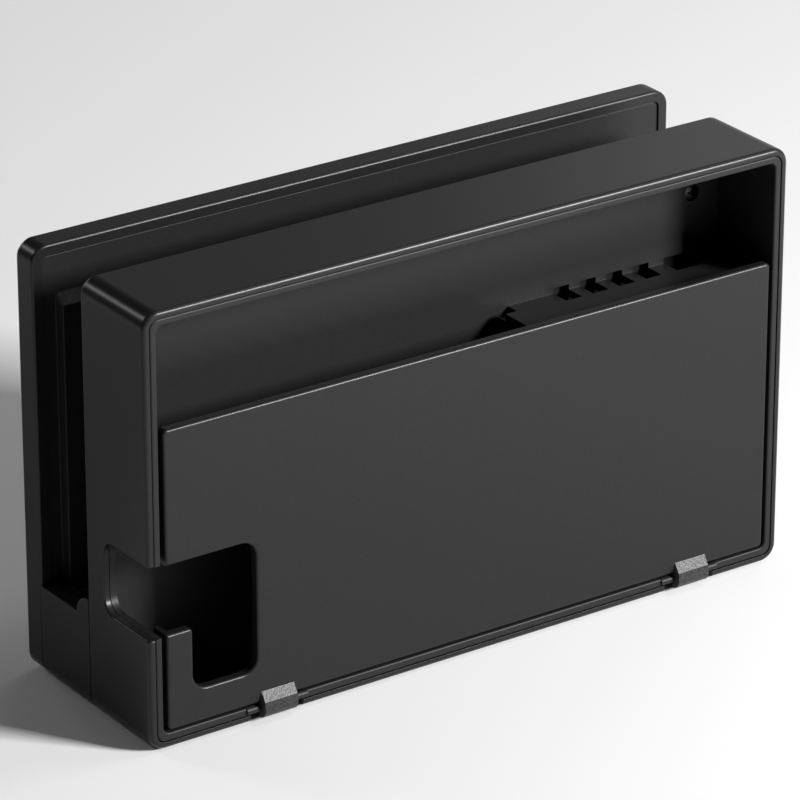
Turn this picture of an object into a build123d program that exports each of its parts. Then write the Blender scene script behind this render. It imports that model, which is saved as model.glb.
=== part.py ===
"""Handheld console dock.

A face plate and a deep rear box stand on one base, with a slot between them for the console.
A sprung plug rises from the slot floor. The rear box holds a tray with a cable recess, an
electronics block with its sockets and vents, and a cable door on two hooked hinges.
Millimetres, +Z up, +Y towards the cable door, origin under the middle of the whole dock.
"""

import os

from build123d import *

# Overall form
WIDTH = 173.0
HEIGHT = 104.0
PLATE_DEPTH = 7.0
SLOT_DEPTH = 20.0
BOX_DEPTH = 25.0
CORNER_R = 4.0
FACE_ROUND = 1.2
RIM_ROUND = 1.0
EDGE_ROUND = 0.6
FOOT_PROUD = 0.5

# Face plate and the panel set into its back
COVER_WALL = 2.0
COVER_RIM = 2.6
COVER_LEDGE = 1.4
PANEL_THICK = 2.0
PANEL_INSET = 0.4
PANEL_CLEAR = 0.12

# Slot floor, with an end lip and one step down on the way in
END_LIP_Z = 23.0
LIP_WIDTH = 3.3
LIP_STEP = 0.8
STEP_WIDTH = 3.7
FLOOR_STEP = 1.6
FLOOR_THICK = 2.0
LINER_WALL = 1.8
END_SWEEP_R = 4.6
SWEEP_TIP = 0.3

# Guide pads on both walls of the slot
PAD_WIDTH = 14.0
PAD_END = 6.1
PAD_PROUD = 2.6
PAD_TOP = 92.0
PAD_DROP = 1.9

# Rear box and its tray
SHELL_WALL = 1.6
FRONT_WALL = 2.0
TRAY_CLEAR = 0.15
TRAY_GAP = 0.2
TRAY_RIM = 1.7
TRAY_WALL = 1.8
TRAY_CORNER_R = 1.6
BAR_HEIGHT = 1.9
RIM_SOFT = 0.45
STOP_WIDTH = 2.0
STOP_DEPTH = 3.0
STOP_HEIGHT = 11.0
STOP_DROP = 3.0
STOP_GAP = 0.2

# Electronics block on the tray
BLOCK_DEPTH = 15.0
BLOCK_WALL = 1.8
BLOCK_ROUND = 1.0
VENT_COUNT = 4
VENT_WIDTH = 4.4
VENT_PITCH = 7.55
VENT_LENGTH = 5.0
VENT_RISE = 1.3
FIRST_VENT = 15.8
WIDE_VENT = 47.3
WIDE_VENT_WIDTH = 6.9
CORNER_CUT_WIDTH = 3.1
CORNER_CUT_LENGTH = 3.4

# Cable door
DOOR_SIDE_GAP = 1.05
DOOR_FOOT_GAP = 0.75
DOOR_HEIGHT = 71.5
DOOR_THICK = 2.2
DOOR_PROUD = 0.3
DOOR_ROUND = 0.6
DOOR_CORNER_R = 1.0
RIB_INSET = 4.0
RIB_WIDTH = 1.2
RIB_DEPTH = 2.0
FLANGE_DEPTH = 3.4

# Cable cut-out in the door, and the notch that carries it round the end of the box
WELL_EDGE = 6.6
WELL_WIDTH = 16.7
WELL_LOW = 12.7
ARM_LOW = 27.9
ARM_HIGH = 44.5
CUT_R = 3.8
STUB_R = 0.9
NOTCH_DEPTH = 18.0
NOTCH_SPARE = 0.4
NOTCH_ROUND = 0.5

# Door hinges: pins across notches in the tray's bottom bar, hooked by tabs on the door
PIN_R = 0.9
PIN_CLEAR = 0.05
PIN_SEAT = 1.0
PIN_RISE = 1.05
HOOK_WALL = 1.45
HINGE_INSET = 0.4
HINGE_EDGE = 28.4
FAR_HINGE_EDGE = 21.2
TAB_WIDTH = 8.6
HINGE_NOTCH = 14.0
TAB_RISE = 2.5
TAB_ROOT = 0.7
CREASE_RISE = 0.3
CREASE_SLOPE = 0.25
MOUTH_LAP = 0.35
SWING_CLEAR = 0.6

# Boards
BOARD_THICK = 1.2
STANDOFF = 4.0
STANDOFF_R = 2.5
BOARD_END_GAP = 4.0
BOARD_TOP_GAP = 2.6
MAIN_BOARD_WIDTH = 39.5
MAIN_BOARD_LOW = 8.0
MAIN_BOARD_HEIGHT = 60.0
BOARD_SPACE = 2.0
SIDE_BOARD_WIDTH = 16.0
SIDE_BOARD_GAP = 1.05
SIDE_BOARD_LOW = 12.0
SIDE_BOARD_DROP = 8.0
SHIELD_HEIGHT = 4.8
SHIELD_SHEET = 0.5
SHIELD_CORNER = 1.0
SHIELD_MARGIN = 7.0
SHIELD_PORT_MARGIN = 15.5
CONNECTOR_DEPTH = 1.6
CONNECTOR_LENGTH = 10.0
CONNECTOR_WIDTH = 2.2
RIBBON_LAP = 1.1
RIBBON_THICK = 0.2
CHIP_SIZES = ((12.0, 1.2), (7.0, 1.0), (8.0, 3.4))
CHIP_SPACE = 4.0

# Sockets: width, height and length of the metal shell, then of the tongue inside
USB_SHELL = (13.1, 5.7, 14.0)
USB_TONGUE = (11.1, 1.9, 8.5)
POWER_SHELL = (9.0, 3.3, 7.4)
POWER_TONGUE = (6.7, 0.7, 4.5)
VIDEO_SHELL = (15.0, 5.6, 12.0)
VIDEO_TONGUE = (11.5, 1.6, 8.0)
SOCKET_SHEET = 0.35
SOCKET_BACK = 2.0
SOCKET_CORNER = 0.7
SOCKET_CLEAR = 0.3
SOCKET_RECESS = 0.2
POWER_DROP = 10.0
REAR_USB_Z = 39.0
VIDEO_Z = 21.0
SIDE_USB_ZS = (24.0, 46.0)

# Plug that the console sits on, and the carrier that lets it tilt
PLUG_WIDTH = 8.3
PLUG_THICK = 2.5
PLUG_REACH = 6.7
PLUG_SHEET = 0.35
PLUG_SINK = 6.0
PLUG_FIT = 0.05
CARRIER_WIDTH = 21.2
CARRIER_DEPTH = 8.4
CARRIER_PROUD = 1.0
CARRIER_R = 2.0
HUB_DEPTH = 6.8
HUB_LOW = 8.0
HUB_HIGH = 14.0
HUB_SIDE_GAP = 0.25
OPENING_GAP = 1.3
TILT_PIN_R = 1.0
TILT_PIN_Z = 10.5
TILT_CLEAR = 0.05
BRACKET_SHEET = 1.0
BRACKET_DEPTH = 8.0
BRACKET_SPAN = 24.0
BRACKET_LOW = 5.0
FLANGE_Z = 13.0
FLANGE_WIDTH = 7.0
SPRING_WIDTH = 6.0
SPRING_SHEET = 0.3
SPRING_REACH = 3.0
SPRING_TIP = 1.5
SPRING_HEEL = 0.75
SPRING_GAP = 0.1

# Ribbon from the plug to the main board
FLEX_WIDTH = 10.0
FLEX_Z = 9.5
FLEX_BACK = 2.4
FLEX_GAP = 0.3
FLEX_INSET = 6.5
FLEX_HEIGHT = 8.0
SLIT_CLEAR = 0.6

# Status light
LIGHT_END = 16.5
LIGHT_Z = 9.5
LIGHT_R = 1.0
LIGHT_FLANGE = 0.8
LIGHT_FLANGE_THICK = 0.6
LIGHT_CLEAR = 0.05
LED_BOARD_WIDTH = 12.0
LED_BOARD_HEIGHT = 8.5
LED_BOARD_THICK = 1.0
LED_SIZE = 1.6
LED_HEIGHT = 0.8
LED_RIBBON_WIDTH = 4.0
LED_RIBBON_Z = 13.5

# Screws: head radius and height, shank radius and length
SCREW_HEAD_R = 1.9
SCREW_HEAD_H = 1.0
SCREW_R = 1.0
SCREW_LENGTH = 4.6
TIP_ROOM = 0.2
SCREW_CLEAR = 0.05
HEAD_CLEAR = 0.2
HEAD_SINK = 0.2
BOSS_R = 2.8
BOARD_SCREW_LENGTH = 4.0
COVER_SCREW_LENGTH = 4.2
TRAY_SCREW_EDGE = 7.45
TRAY_SCREW_DROP = 12.35
TRAY_SCREW_LOW = 14.0
POST_EDGE = 8.05
POST_LOW = 8.0
POST_DROP = 7.4
BOARD_SCREW_EDGE = 3.0
BOARD_SCREW_PORT_EDGE = 14.5
LINER_SCREW_ENDS = (22.5, 40.5)
LINER_SCREW_Z = 9.5
LINER_BOSS_LENGTH = 8.0
COVER_SCREW_END = 30.5
COVER_SCREW_MIDDLE = 22.0
COVER_SCREW_Z = 9.5
BRACKET_SCREW_X = 16.5
BOTTOM_SCREW_END = 9.5
BOTTOM_SCREW_MIDDLE = 30.0
BOTTOM_SCREW_SHIFT = -4.0

# Bottom cover and feet
BOTTOM_THICK = 1.8
BOTTOM_CLEAR = 0.15
BOTTOM_END = 5.2
FOOT_LENGTH = 18.0
FOOT_WIDTH = 7.0
FOOT_POCKET = 0.6
FOOT_CLEAR = 0.1
FOOT_END = 28.5

# Depth: the hinge hooks stand furthest out at the rear
HOOK_R = PIN_R + PIN_CLEAR + HOOK_WALL
TAB_PROUD = HOOK_R - HINGE_INSET
DEPTH = PLATE_DEPTH + SLOT_DEPTH + BOX_DEPTH + TAB_PROUD
Y_FRONT = -DEPTH / 2
Y_PLATE = Y_FRONT + PLATE_DEPTH
Y_PANEL = Y_PLATE - PANEL_INSET
Y_PANEL_FRONT = Y_PANEL - PANEL_THICK
Y_BOX = Y_PLATE + SLOT_DEPTH
Y_SHELL = Y_BOX + FRONT_WALL
Y_TRAY = Y_SHELL + TRAY_GAP
Y_WALL = Y_TRAY + TRAY_WALL
Y_BLOCK = Y_WALL + BLOCK_DEPTH
Y_RIM = Y_BOX + BOX_DEPTH
Y_DOOR = Y_RIM + DOOR_PROUD
Y_DOOR_IN = Y_DOOR - DOOR_THICK
Y_BOARD = Y_SHELL + STANDOFF
Y_BOARD_REAR = Y_BOARD + BOARD_THICK
Y_SLOT = (Y_PLATE + Y_BOX) / 2
HINGE_Y = Y_RIM - HINGE_INSET

# Heights
Z_BASE = FOOT_PROUD
Z_BOTTOM = Z_BASE + BOTTOM_THICK
Z_STEP = END_LIP_Z - LIP_STEP
Z_FLOOR = Z_STEP - FLOOR_STEP
Z_UNDER = Z_FLOOR - FLOOR_THICK
Z_TRAY = Z_BASE + SHELL_WALL + TRAY_CLEAR
Z_BAR = Z_TRAY + BAR_HEIGHT
Z_RECESS_TOP = HEIGHT - SHELL_WALL - TRAY_CLEAR - TRAY_RIM
Z_DOOR = Z_BAR + DOOR_FOOT_GAP
Z_DOOR_TOP = Z_DOOR + DOOR_HEIGHT
HINGE_Z = Z_TRAY + PIN_RISE
Z_CARRIER = Z_FLOOR + CARRIER_PROUD
MAIN_BOARD_TOP = MAIN_BOARD_LOW + MAIN_BOARD_HEIGHT
SIDE_BOARD_TOP = MAIN_BOARD_TOP - SIDE_BOARD_DROP
POWER_Z = MAIN_BOARD_TOP - POWER_DROP
LEDGE_Z = MAIN_BOARD_TOP + BOARD_TOP_GAP + BLOCK_WALL
POST_ZS = (POST_LOW, LEDGE_Z - POST_DROP)

# Distances from the middle
X_END = WIDTH / 2
X_TRAY = X_END - SHELL_WALL - TRAY_CLEAR
X_RECESS = X_TRAY - TRAY_RIM
X_DOOR = X_RECESS - DOOR_SIDE_GAP
X_WELL = X_DOOR - WELL_EDGE
X_CUT = X_WELL - WELL_WIDTH
X_PAD = X_END - PAD_END
X_SIDE_FAR = SIDE_BOARD_GAP - X_RECESS
X_SIDE = X_SIDE_FAR + SIDE_BOARD_WIDTH
X_MAIN_FAR = X_SIDE + BOARD_SPACE
X_MAIN = X_MAIN_FAR + MAIN_BOARD_WIDTH
X_PORTS = X_MAIN + BOARD_END_GAP
X_FLEX = X_MAIN - FLEX_INSET
X_LIGHT = LIGHT_END - X_END
X_FOOT = X_END - FOOT_END
X_TRAY_SCREW = X_RECESS - TRAY_SCREW_EDGE
X_POST = POST_EDGE - X_RECESS
HINGE_XS = (X_DOOR - HINGE_EDGE, FAR_HINGE_EDGE - X_DOOR)
LINER_SCREW_XS = [side * (X_END - end) for side in (-1, 1) for end in LINER_SCREW_ENDS]
X_COVER_SCREW = X_END - COVER_SCREW_END
COVER_SCREW_XS = (-X_COVER_SCREW, -COVER_SCREW_MIDDLE, COVER_SCREW_MIDDLE, X_COVER_SCREW)
PAST = 1.0


def block(x0, x1, y0, y1, z0, z1):
    """Square-edged block between two opposite corners."""
    centre = Pos((x0 + x1) / 2, (y0 + y1) / 2, (z0 + z1) / 2)
    return centre * Box(x1 - x0, y1 - y0, z1 - z0)


def along_y(sketch, y0, y1):
    """Sketch drawn in X and Z, extruded from y0 to y1."""
    return extrude(Plane.XZ.offset(-y1) * sketch, amount=y1 - y0, dir=(0, -1, 0))


def along_x(sketch, x0, x1):
    """Sketch drawn in Y and Z, extruded from x0 to x1."""
    return extrude(Plane.YZ.offset(x0) * sketch, amount=x1 - x0, dir=(1, 0, 0))


def along_z(sketch, z0, z1):
    """Sketch drawn in X and Y, extruded from z0 to z1."""
    return extrude(Plane.XY.offset(z0) * sketch, amount=z1 - z0, dir=(0, 0, 1))


def outline(inset=0.0, radius=None):
    """Rounded rectangle of the dock seen from the front, drawn in by an inset."""
    corner = CORNER_R - inset if radius is None else radius
    middle = Pos(0, (Z_BASE + HEIGHT) / 2)
    return middle * RectangleRounded(WIDTH - 2 * inset, HEIGHT - Z_BASE - 2 * inset, corner)


def rect(a0, a1, b0, b1, radius=0.0):
    """Rectangle between two corners of a sketch, rounded where a radius is given."""
    middle = Pos((a0 + a1) / 2, (b0 + b1) / 2)
    if radius > 0:
        return middle * RectangleRounded(a1 - a0, b1 - b0, radius)
    return middle * Rectangle(a1 - a0, b1 - b0)


def rod_y(x, z, radius, y0, y1):
    """Round bar along Y."""
    return along_y(Pos(x, z) * Circle(radius), y0, y1)


def rod_z(x, y, radius, z0, z1):
    """Round bar along Z."""
    return along_z(Pos(x, y) * Circle(radius), z0, z1)


def screw(length):
    """Plain screw along Z: the head stands on the origin and the shank hangs below it."""
    head = extrude(Circle(SCREW_HEAD_R), amount=SCREW_HEAD_H)
    shank = extrude(Circle(SCREW_R), amount=-length)
    return head + shank


def rearward_screw(x, y, z, length):
    """Screw whose head faces the rear."""
    return Pos(x, y, z) * Rot(-90, 0, 0) * screw(length)


def downward_screw(x, y, z, length):
    """Screw whose head faces the ground."""
    return Pos(x, y, z) * Rot(180, 0, 0) * screw(length)


def tray_screw_seats():
    """Place under each tray screw's head: three on the tray's wall and two on the block."""
    wall = Y_WALL - SCREW_HEAD_H - HEAD_SINK
    back = Y_BLOCK - SCREW_HEAD_H - HEAD_SINK
    high = Z_RECESS_TOP - TRAY_SCREW_DROP
    corners = [
        (-X_TRAY_SCREW, wall, high),
        (X_TRAY_SCREW, wall, high),
        (X_TRAY_SCREW, wall, TRAY_SCREW_LOW),
    ]
    return corners + [(X_POST, back, z) for z in POST_ZS]


def board_screw_places():
    """X and Z of the main board's screws."""
    near = X_MAIN - BOARD_SCREW_PORT_EDGE
    far = X_MAIN_FAR + BOARD_SCREW_EDGE
    low = MAIN_BOARD_LOW + BOARD_SCREW_EDGE
    high = MAIN_BOARD_TOP - BOARD_SCREW_EDGE
    return [(x, z) for x in (near, far) for z in (low, high)]


def foot_places():
    """X and Y of the four feet, under the bottom cover and under the rear box."""
    return [(x, y) for x in (-X_FOOT, X_FOOT) for y in (Y_SLOT, (Y_BOX + Y_RIM) / 2)]


def bottom_screw_places():
    """X and Y of the bottom cover's screws."""
    end = X_END - BOTTOM_SCREW_END
    outer = [(-end, Y_SLOT), (end, Y_SLOT)]
    return outer + [(side * BOTTOM_SCREW_MIDDLE, Y_SLOT + BOTTOM_SCREW_SHIFT) for side in (-1, 1)]


def pad(wall_y, proud_y, side, root):
    """Guide pad from the slot floor up, with a lead-in that slopes down into the slot."""
    profile = Polygon(
        (root, Z_FLOOR),
        (proud_y, Z_FLOOR),
        (proud_y, PAD_TOP - PAD_DROP),
        (wall_y, PAD_TOP),
        (root, PAD_TOP),
        align=None,
    )
    ends = sorted((side * X_PAD, side * (X_PAD - PAD_WIDTH)))
    return along_x(profile, *ends)


def front_cover():
    """Face plate: a shallow dish with a ledge inside its rim that seats the panel."""
    body = along_y(outline(), Y_FRONT, Y_PLATE)
    body = fillet(body.edges().group_by(Axis.Y)[0], FACE_ROUND)
    body = fillet(body.edges().group_by(Axis.Y)[-1], EDGE_ROUND)
    body -= along_y(outline(COVER_RIM), Y_PANEL_FRONT, Y_PLATE)
    inside = outline(COVER_RIM + COVER_LEDGE, PANEL_INSET)
    body -= along_y(inside, Y_FRONT + COVER_WALL, Y_PANEL_FRONT)
    for x in COVER_SCREW_XS:
        body += rod_y(x, COVER_SCREW_Z, BOSS_R, Y_FRONT + COVER_WALL, Y_PANEL_FRONT)
        hole = SCREW_R + SCREW_CLEAR
        body -= rod_y(x, COVER_SCREW_Z, hole, Y_FRONT + COVER_WALL, Y_PANEL_FRONT)
    body -= rod_y(X_LIGHT, LIGHT_Z, LIGHT_R + LIGHT_CLEAR, Y_FRONT, Y_FRONT + COVER_WALL)
    return body


def liner_base():
    """Base of the slot: end walls and stepped floor, open below and towards the rear box."""
    under_lip = rect(-X_END, X_END, Z_BASE, END_LIP_Z)
    base = along_y(outline() & under_lip, Y_PLATE, Y_BOX)
    base += along_y(outline(COVER_RIM + PANEL_CLEAR) & under_lip, Y_PANEL, Y_PLATE)
    for inset, level in ((LIP_WIDTH, Z_STEP), (LIP_WIDTH + STEP_WIDTH, Z_FLOOR)):
        half = X_END - inset
        base -= block(-half, half, Y_PANEL, Y_BOX, level, END_LIP_Z)
    inner = X_END - LINER_WALL
    base -= block(-inner, inner, Y_PLATE, Y_BOX, Z_BOTTOM, Z_UNDER)
    mouth = X_END - BOTTOM_END
    base -= block(-mouth, mouth, Y_PLATE, Y_BOX, Z_BASE, Z_BOTTOM)
    return base


def end_sweep(side):
    """Hollow curve that carries the end lip up into the rear box's wall."""
    tip = END_LIP_Z + END_SWEEP_R
    start = Y_BOX - SWEEP_TIP - END_SWEEP_R
    arc = RadiusArc((start, END_LIP_Z), (Y_BOX - SWEEP_TIP, tip), END_SWEEP_R)
    edge = Polyline(arc @ 1, (Y_BOX, tip), (Y_BOX, END_LIP_Z), arc @ 0)
    ends = sorted((side * X_END, side * (X_END - LIP_WIDTH)))
    return along_x(make_face([arc, *edge.edges()]), *ends)


def slot_liner():
    """Panel behind the face plate, guide pads and slot floor, moulded in one."""
    body = along_y(outline(COVER_RIM + PANEL_CLEAR), Y_PANEL_FRONT, Y_PANEL)
    body += liner_base()
    for side in (-1, 1):
        body += pad(Y_PLATE, Y_PLATE + PAD_PROUD, side, Y_PANEL)
        body += end_sweep(side)
    hole = SCREW_R + SCREW_CLEAR
    for x in LINER_SCREW_XS:
        boss_y = Y_BOX - LINER_BOSS_LENGTH
        body += block(x - BOSS_R, x + BOSS_R, boss_y, Y_BOX, LINER_SCREW_Z - BOSS_R, Z_UNDER)
        body -= rod_y(x, LINER_SCREW_Z, hole, boss_y, Y_BOX)
    for x, y in bottom_screw_places():
        body += rod_z(x, y, BOSS_R, Z_BOTTOM, Z_UNDER)
        body -= rod_z(x, y, hole, Z_BOTTOM, Z_UNDER)
    for x in (-BRACKET_SCREW_X, BRACKET_SCREW_X):
        body += rod_z(x, Y_SLOT, BOSS_R, FLANGE_Z, Z_UNDER)
        body -= rod_z(x, Y_SLOT, hole, FLANGE_Z, FLANGE_Z + BOARD_SCREW_LENGTH)
    for x in COVER_SCREW_XS:
        body -= rod_y(x, COVER_SCREW_Z, hole, Y_PANEL_FRONT, Y_PLATE)
    half = CARRIER_WIDTH / 2 + OPENING_GAP
    reach = CARRIER_DEPTH / 2 + OPENING_GAP
    opening = rect(-half, half, Y_SLOT - reach, Y_SLOT + reach, CARRIER_R + OPENING_GAP)
    body -= along_z(opening, Z_UNDER, Z_FLOOR)
    body -= led_slit(Y_PANEL_FRONT, Y_PLATE)
    return body


def led_slit(y0, y1):
    """Slit for the status light's ribbon."""
    half = LED_RIBBON_WIDTH / 2 + SLIT_CLEAR
    low = LED_RIBBON_Z - SLIT_CLEAR
    high = LED_RIBBON_Z + SLIT_CLEAR
    return block(X_LIGHT - half, X_LIGHT + half, y0, y1, low, high)


def notch(spare, x0, x1):
    """Cable notch through the +X end of the box, open to the rear."""
    low = ARM_LOW - spare
    high = ARM_HIGH + spare
    front = Y_RIM - NOTCH_DEPTH - spare
    tail = Y_RIM + CUT_R + PAST
    return along_x(rect(front, tail, low, high, CUT_R), x0, x1)


def round_notch(body):
    """Softens the notch's edge on the outside of the box's end."""
    edges = body.edges().group_by(Axis.X)[-1]
    edges = edges.filter_by_position(Axis.Z, ARM_LOW - PAST, ARM_HIGH + PAST)
    return fillet(edges.filter_by_position(Axis.Y, Y_SHELL, Y_RIM), NOTCH_ROUND)


def hinge_gaps(z0, z1):
    """Room for the two door hooks to swing in."""
    front = HINGE_Y - HOOK_R - SWING_CLEAR
    half = HINGE_NOTCH / 2
    return [block(x - half, x + half, front, Y_RIM + PAST, z0, z1) for x in HINGE_XS]


def side_usb_openings(x0, x1):
    """Openings in the -X end for the two side sockets."""
    half = USB_SHELL[0] / 2 + SOCKET_CLEAR
    low = Y_BOARD_REAR - SOCKET_CLEAR
    high = Y_BOARD_REAR + USB_SHELL[1] + SOCKET_CLEAR
    return [block(x0, x1, low, high, z - half, z + half) for z in SIDE_USB_ZS]


def rear_shell():
    """Rear box: five walls, guide pads on the slot side, board standoffs and screw posts inside."""
    body = along_y(outline(), Y_BOX, Y_RIM)
    body = fillet(body.edges().group_by(Axis.Y)[0], EDGE_ROUND)
    body = fillet(body.edges().group_by(Axis.Y)[-1], RIM_ROUND)
    body -= along_y(outline(SHELL_WALL), Y_SHELL, Y_RIM)
    for side in (-1, 1):
        rail = pad(Y_BOX, Y_BOX - PAD_PROUD, side, Y_BOX + EDGE_ROUND)
        body += rail - block(-X_END, X_END, Y_PLATE, Y_BOX, Z_BASE, END_LIP_Z + END_SWEEP_R)
    hole = SCREW_R + SCREW_CLEAR
    for x, z in board_screw_places():
        body += rod_y(x, z, STANDOFF_R, Y_SHELL, Y_BOARD)
        body -= rod_y(x, z, hole, Y_SHELL, Y_BOARD)
    for z in POST_ZS:
        body += rod_y(X_POST, z, BOSS_R, Y_SHELL, Y_BLOCK - BLOCK_WALL)
    for x, y, z in tray_screw_seats():
        body -= rod_y(x, z, hole, y - SCREW_LENGTH - TIP_ROOM, y)
    for x in LINER_SCREW_XS:
        body -= rod_y(x, LINER_SCREW_Z, hole, Y_BOX, Y_SHELL)
        sink = SCREW_HEAD_R + HEAD_CLEAR
        body -= rod_y(x, LINER_SCREW_Z, sink, Y_SHELL - SCREW_HEAD_H, Y_SHELL)
    body = round_notch(body - notch(NOTCH_SPARE, X_TRAY - PAST, X_END))
    body -= side_usb_openings(-X_END, -X_TRAY + PAST)
    body -= hinge_gaps(Z_BASE, Z_TRAY)
    flex = FLEX_WIDTH / 2 + SLIT_CLEAR
    low = FLEX_Z - SLIT_CLEAR
    high = FLEX_Z + SLIT_CLEAR
    body -= block(X_FLEX - flex, X_FLEX + flex, Y_BOX, Y_SHELL, low, high)
    body -= led_slit(Y_BOX, Y_SHELL)
    return cut_foot_pockets(body)


def cut_foot_pockets(body):
    """Shallow pockets on the underside that hold the feet."""
    shape = RectangleRounded(
        FOOT_LENGTH + 2 * FOOT_CLEAR, FOOT_WIDTH + 2 * FOOT_CLEAR, FOOT_WIDTH / 2
    )
    for x, y in foot_places():
        body -= along_z(Pos(x, y) * shape, Z_BASE, Z_BASE + FOOT_POCKET)
    return body


def tray_body():
    """Tray with its rim, recess and the shell of the electronics block."""
    body = along_y(outline(SHELL_WALL + TRAY_CLEAR), Y_TRAY, Y_RIM)
    recess = rect(-X_RECESS, X_RECESS, Z_BAR, Z_RECESS_TOP, TRAY_CORNER_R)
    body -= along_y(recess, Y_WALL, Y_RIM)
    body = fillet(body.edges().group_by(Axis.Y)[-1], RIM_SOFT)
    housing = block(-X_RECESS, X_PORTS, Y_TRAY, Y_BLOCK, Z_BAR, LEDGE_Z)
    top_edges = housing.edges().filter_by(Axis.X).group_by(Axis.Y)[-1]
    housing = fillet(top_edges.sort_by(Axis.Z)[-1:], BLOCK_ROUND)
    body += housing
    far = -X_RECESS
    near = X_PORTS - BLOCK_WALL
    body -= block(far, near, Y_TRAY, Y_BLOCK - BLOCK_WALL, Z_BAR, LEDGE_Z - BLOCK_WALL)
    return body


def vents():
    """Slots that wrap the inner corner between the block's ledge and the tray's wall."""
    starts = [(FIRST_VENT + i * VENT_PITCH, VENT_WIDTH) for i in range(VENT_COUNT)]
    starts.append((WIDE_VENT, WIDE_VENT_WIDTH))
    low = LEDGE_Z - BLOCK_WALL
    high = LEDGE_Z + VENT_RISE
    end = Y_WALL + VENT_LENGTH
    return [block(X_PORTS - x - wide, X_PORTS - x, Y_TRAY, end, low, high) for x, wide in starts]


def rear_sockets():
    """Shell size, tongue size and height of the three sockets on the block."""
    return {
        "power_port": (POWER_SHELL, POWER_TONGUE, POWER_Z),
        "rear_usb_port": (USB_SHELL, USB_TONGUE, REAR_USB_Z),
        "video_port": (VIDEO_SHELL, VIDEO_TONGUE, VIDEO_Z),
    }


def back_plate():
    """Tray: rim, cable recess, electronics block, vents, door stops and hinge pins in one moulding."""
    body = tray_body()
    body -= vents()
    cut_end = X_PORTS - CORNER_CUT_WIDTH
    cut_y = Y_WALL + CORNER_CUT_LENGTH
    body -= block(cut_end, X_PORTS, Y_WALL, cut_y, LEDGE_Z - BLOCK_WALL, LEDGE_Z)
    for shell, _, z in rear_sockets().values():
        half = shell[0] / 2 + SOCKET_CLEAR
        low = Y_BOARD_REAR - SOCKET_CLEAR
        high = Y_BOARD_REAR + shell[1] + SOCKET_CLEAR
        wall = X_PORTS - BLOCK_WALL
        body -= block(wall, X_PORTS, low, high, z - half, z + half)
    body -= side_usb_openings(-X_TRAY, -X_RECESS)
    body -= notch(NOTCH_SPARE, X_RECESS - PAST, X_TRAY)
    body -= hinge_gaps(Z_TRAY, Z_BAR)
    half = HINGE_NOTCH / 2 + PIN_SEAT
    for x in HINGE_XS:
        body += along_x(Pos(HINGE_Y, HINGE_Z) * Circle(PIN_R), x - half, x + half)
    stop_y = Y_DOOR_IN - STOP_GAP
    stop_top = Z_DOOR_TOP - STOP_DROP
    for ends in ((-X_RECESS, -X_RECESS + STOP_WIDTH), (X_RECESS - STOP_WIDTH, X_RECESS)):
        body += block(*ends, stop_y - STOP_DEPTH, stop_y, stop_top - STOP_HEIGHT, stop_top)
    for x, y, z in tray_screw_seats():
        body -= rod_y(x, z, SCREW_HEAD_R + HEAD_CLEAR, y, y + SCREW_HEAD_H + HEAD_SINK)
        body -= rod_y(x, z, SCREW_R + SCREW_CLEAR, y - BLOCK_WALL, y)
    return body


def cable_cutout(spare=0.0):
    """Cable cut-out: an arm open to the door's edge that drops into a well."""
    past = X_DOOR + CUT_R + PAST
    corners = (
        (past, ARM_LOW - spare),
        (X_WELL + spare, ARM_LOW - spare),
        (X_WELL + spare, WELL_LOW - spare),
        (X_CUT - spare, WELL_LOW - spare),
        (X_CUT - spare, ARM_HIGH + spare),
        (past, ARM_HIGH + spare),
    )
    radii = (0, STUB_R, CUT_R, CUT_R, CUT_R, 0)
    return make_face(FilletPolyline(*corners, radius=radii, close=True))


def hinge_tab():
    """Hook round a hinge pin: a sloped face that breaks at a crease and rolls under the pin."""
    far = HINGE_Y + HOOK_R
    root = Y_DOOR_IN + TAB_ROOT
    face = Polygon(
        (root, Z_DOOR + TAB_RISE),
        (Y_DOOR, Z_DOOR + TAB_RISE),
        (far - CREASE_SLOPE, Z_DOOR + CREASE_RISE),
        (far, HINGE_Z),
        (HINGE_Y, HINGE_Z),
        (root, Z_DOOR),
        align=None,
    )
    hook = face + Pos(HINGE_Y, HINGE_Z) * Circle(HOOK_R)
    hook -= Pos(HINGE_Y, HINGE_Z) * Circle(PIN_R + PIN_CLEAR)
    lap = HINGE_Y - MOUTH_LAP
    return hook - rect(lap - HOOK_R, lap, HINGE_Z - HOOK_R - PAST, HINGE_Z)


def door_ribs():
    """Inside of the door: a flange along each end, and a rib along its top and its foot."""
    low = Z_DOOR + RIB_INSET
    high = Z_DOOR_TOP - RIB_INSET
    flange_top = Z_DOOR_TOP - STOP_DROP - STOP_HEIGHT - STOP_GAP
    inner = X_DOOR - RIB_WIDTH
    flanges = [rect(x, x + RIB_WIDTH, low, flange_top) for x in (-X_DOOR, inner)]
    ribs = [rect(-inner, inner, z, z + RIB_WIDTH) for z in (low, high - RIB_WIDTH)]
    cut = cable_cutout()
    deep = [along_y(shape - cut, Y_DOOR_IN - FLANGE_DEPTH, Y_DOOR_IN) for shape in flanges]
    return deep + [along_y(shape, Y_DOOR_IN - RIB_DEPTH, Y_DOOR_IN) for shape in ribs]


def rear_door():
    """Cable door: a flat panel with its cut-out, flanges and ribs inside and two hinge hooks."""
    panel = rect(-X_DOOR, X_DOOR, Z_DOOR, Z_DOOR_TOP, DOOR_CORNER_R) - cable_cutout()
    body = along_y(panel, Y_DOOR_IN, Y_DOOR)
    body = fillet(body.edges().group_by(Axis.Y)[-1], DOOR_ROUND)
    body += door_ribs()
    for x in HINGE_XS:
        body += along_x(hinge_tab(), x - TAB_WIDTH / 2, x + TAB_WIDTH / 2)
    return body


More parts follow.
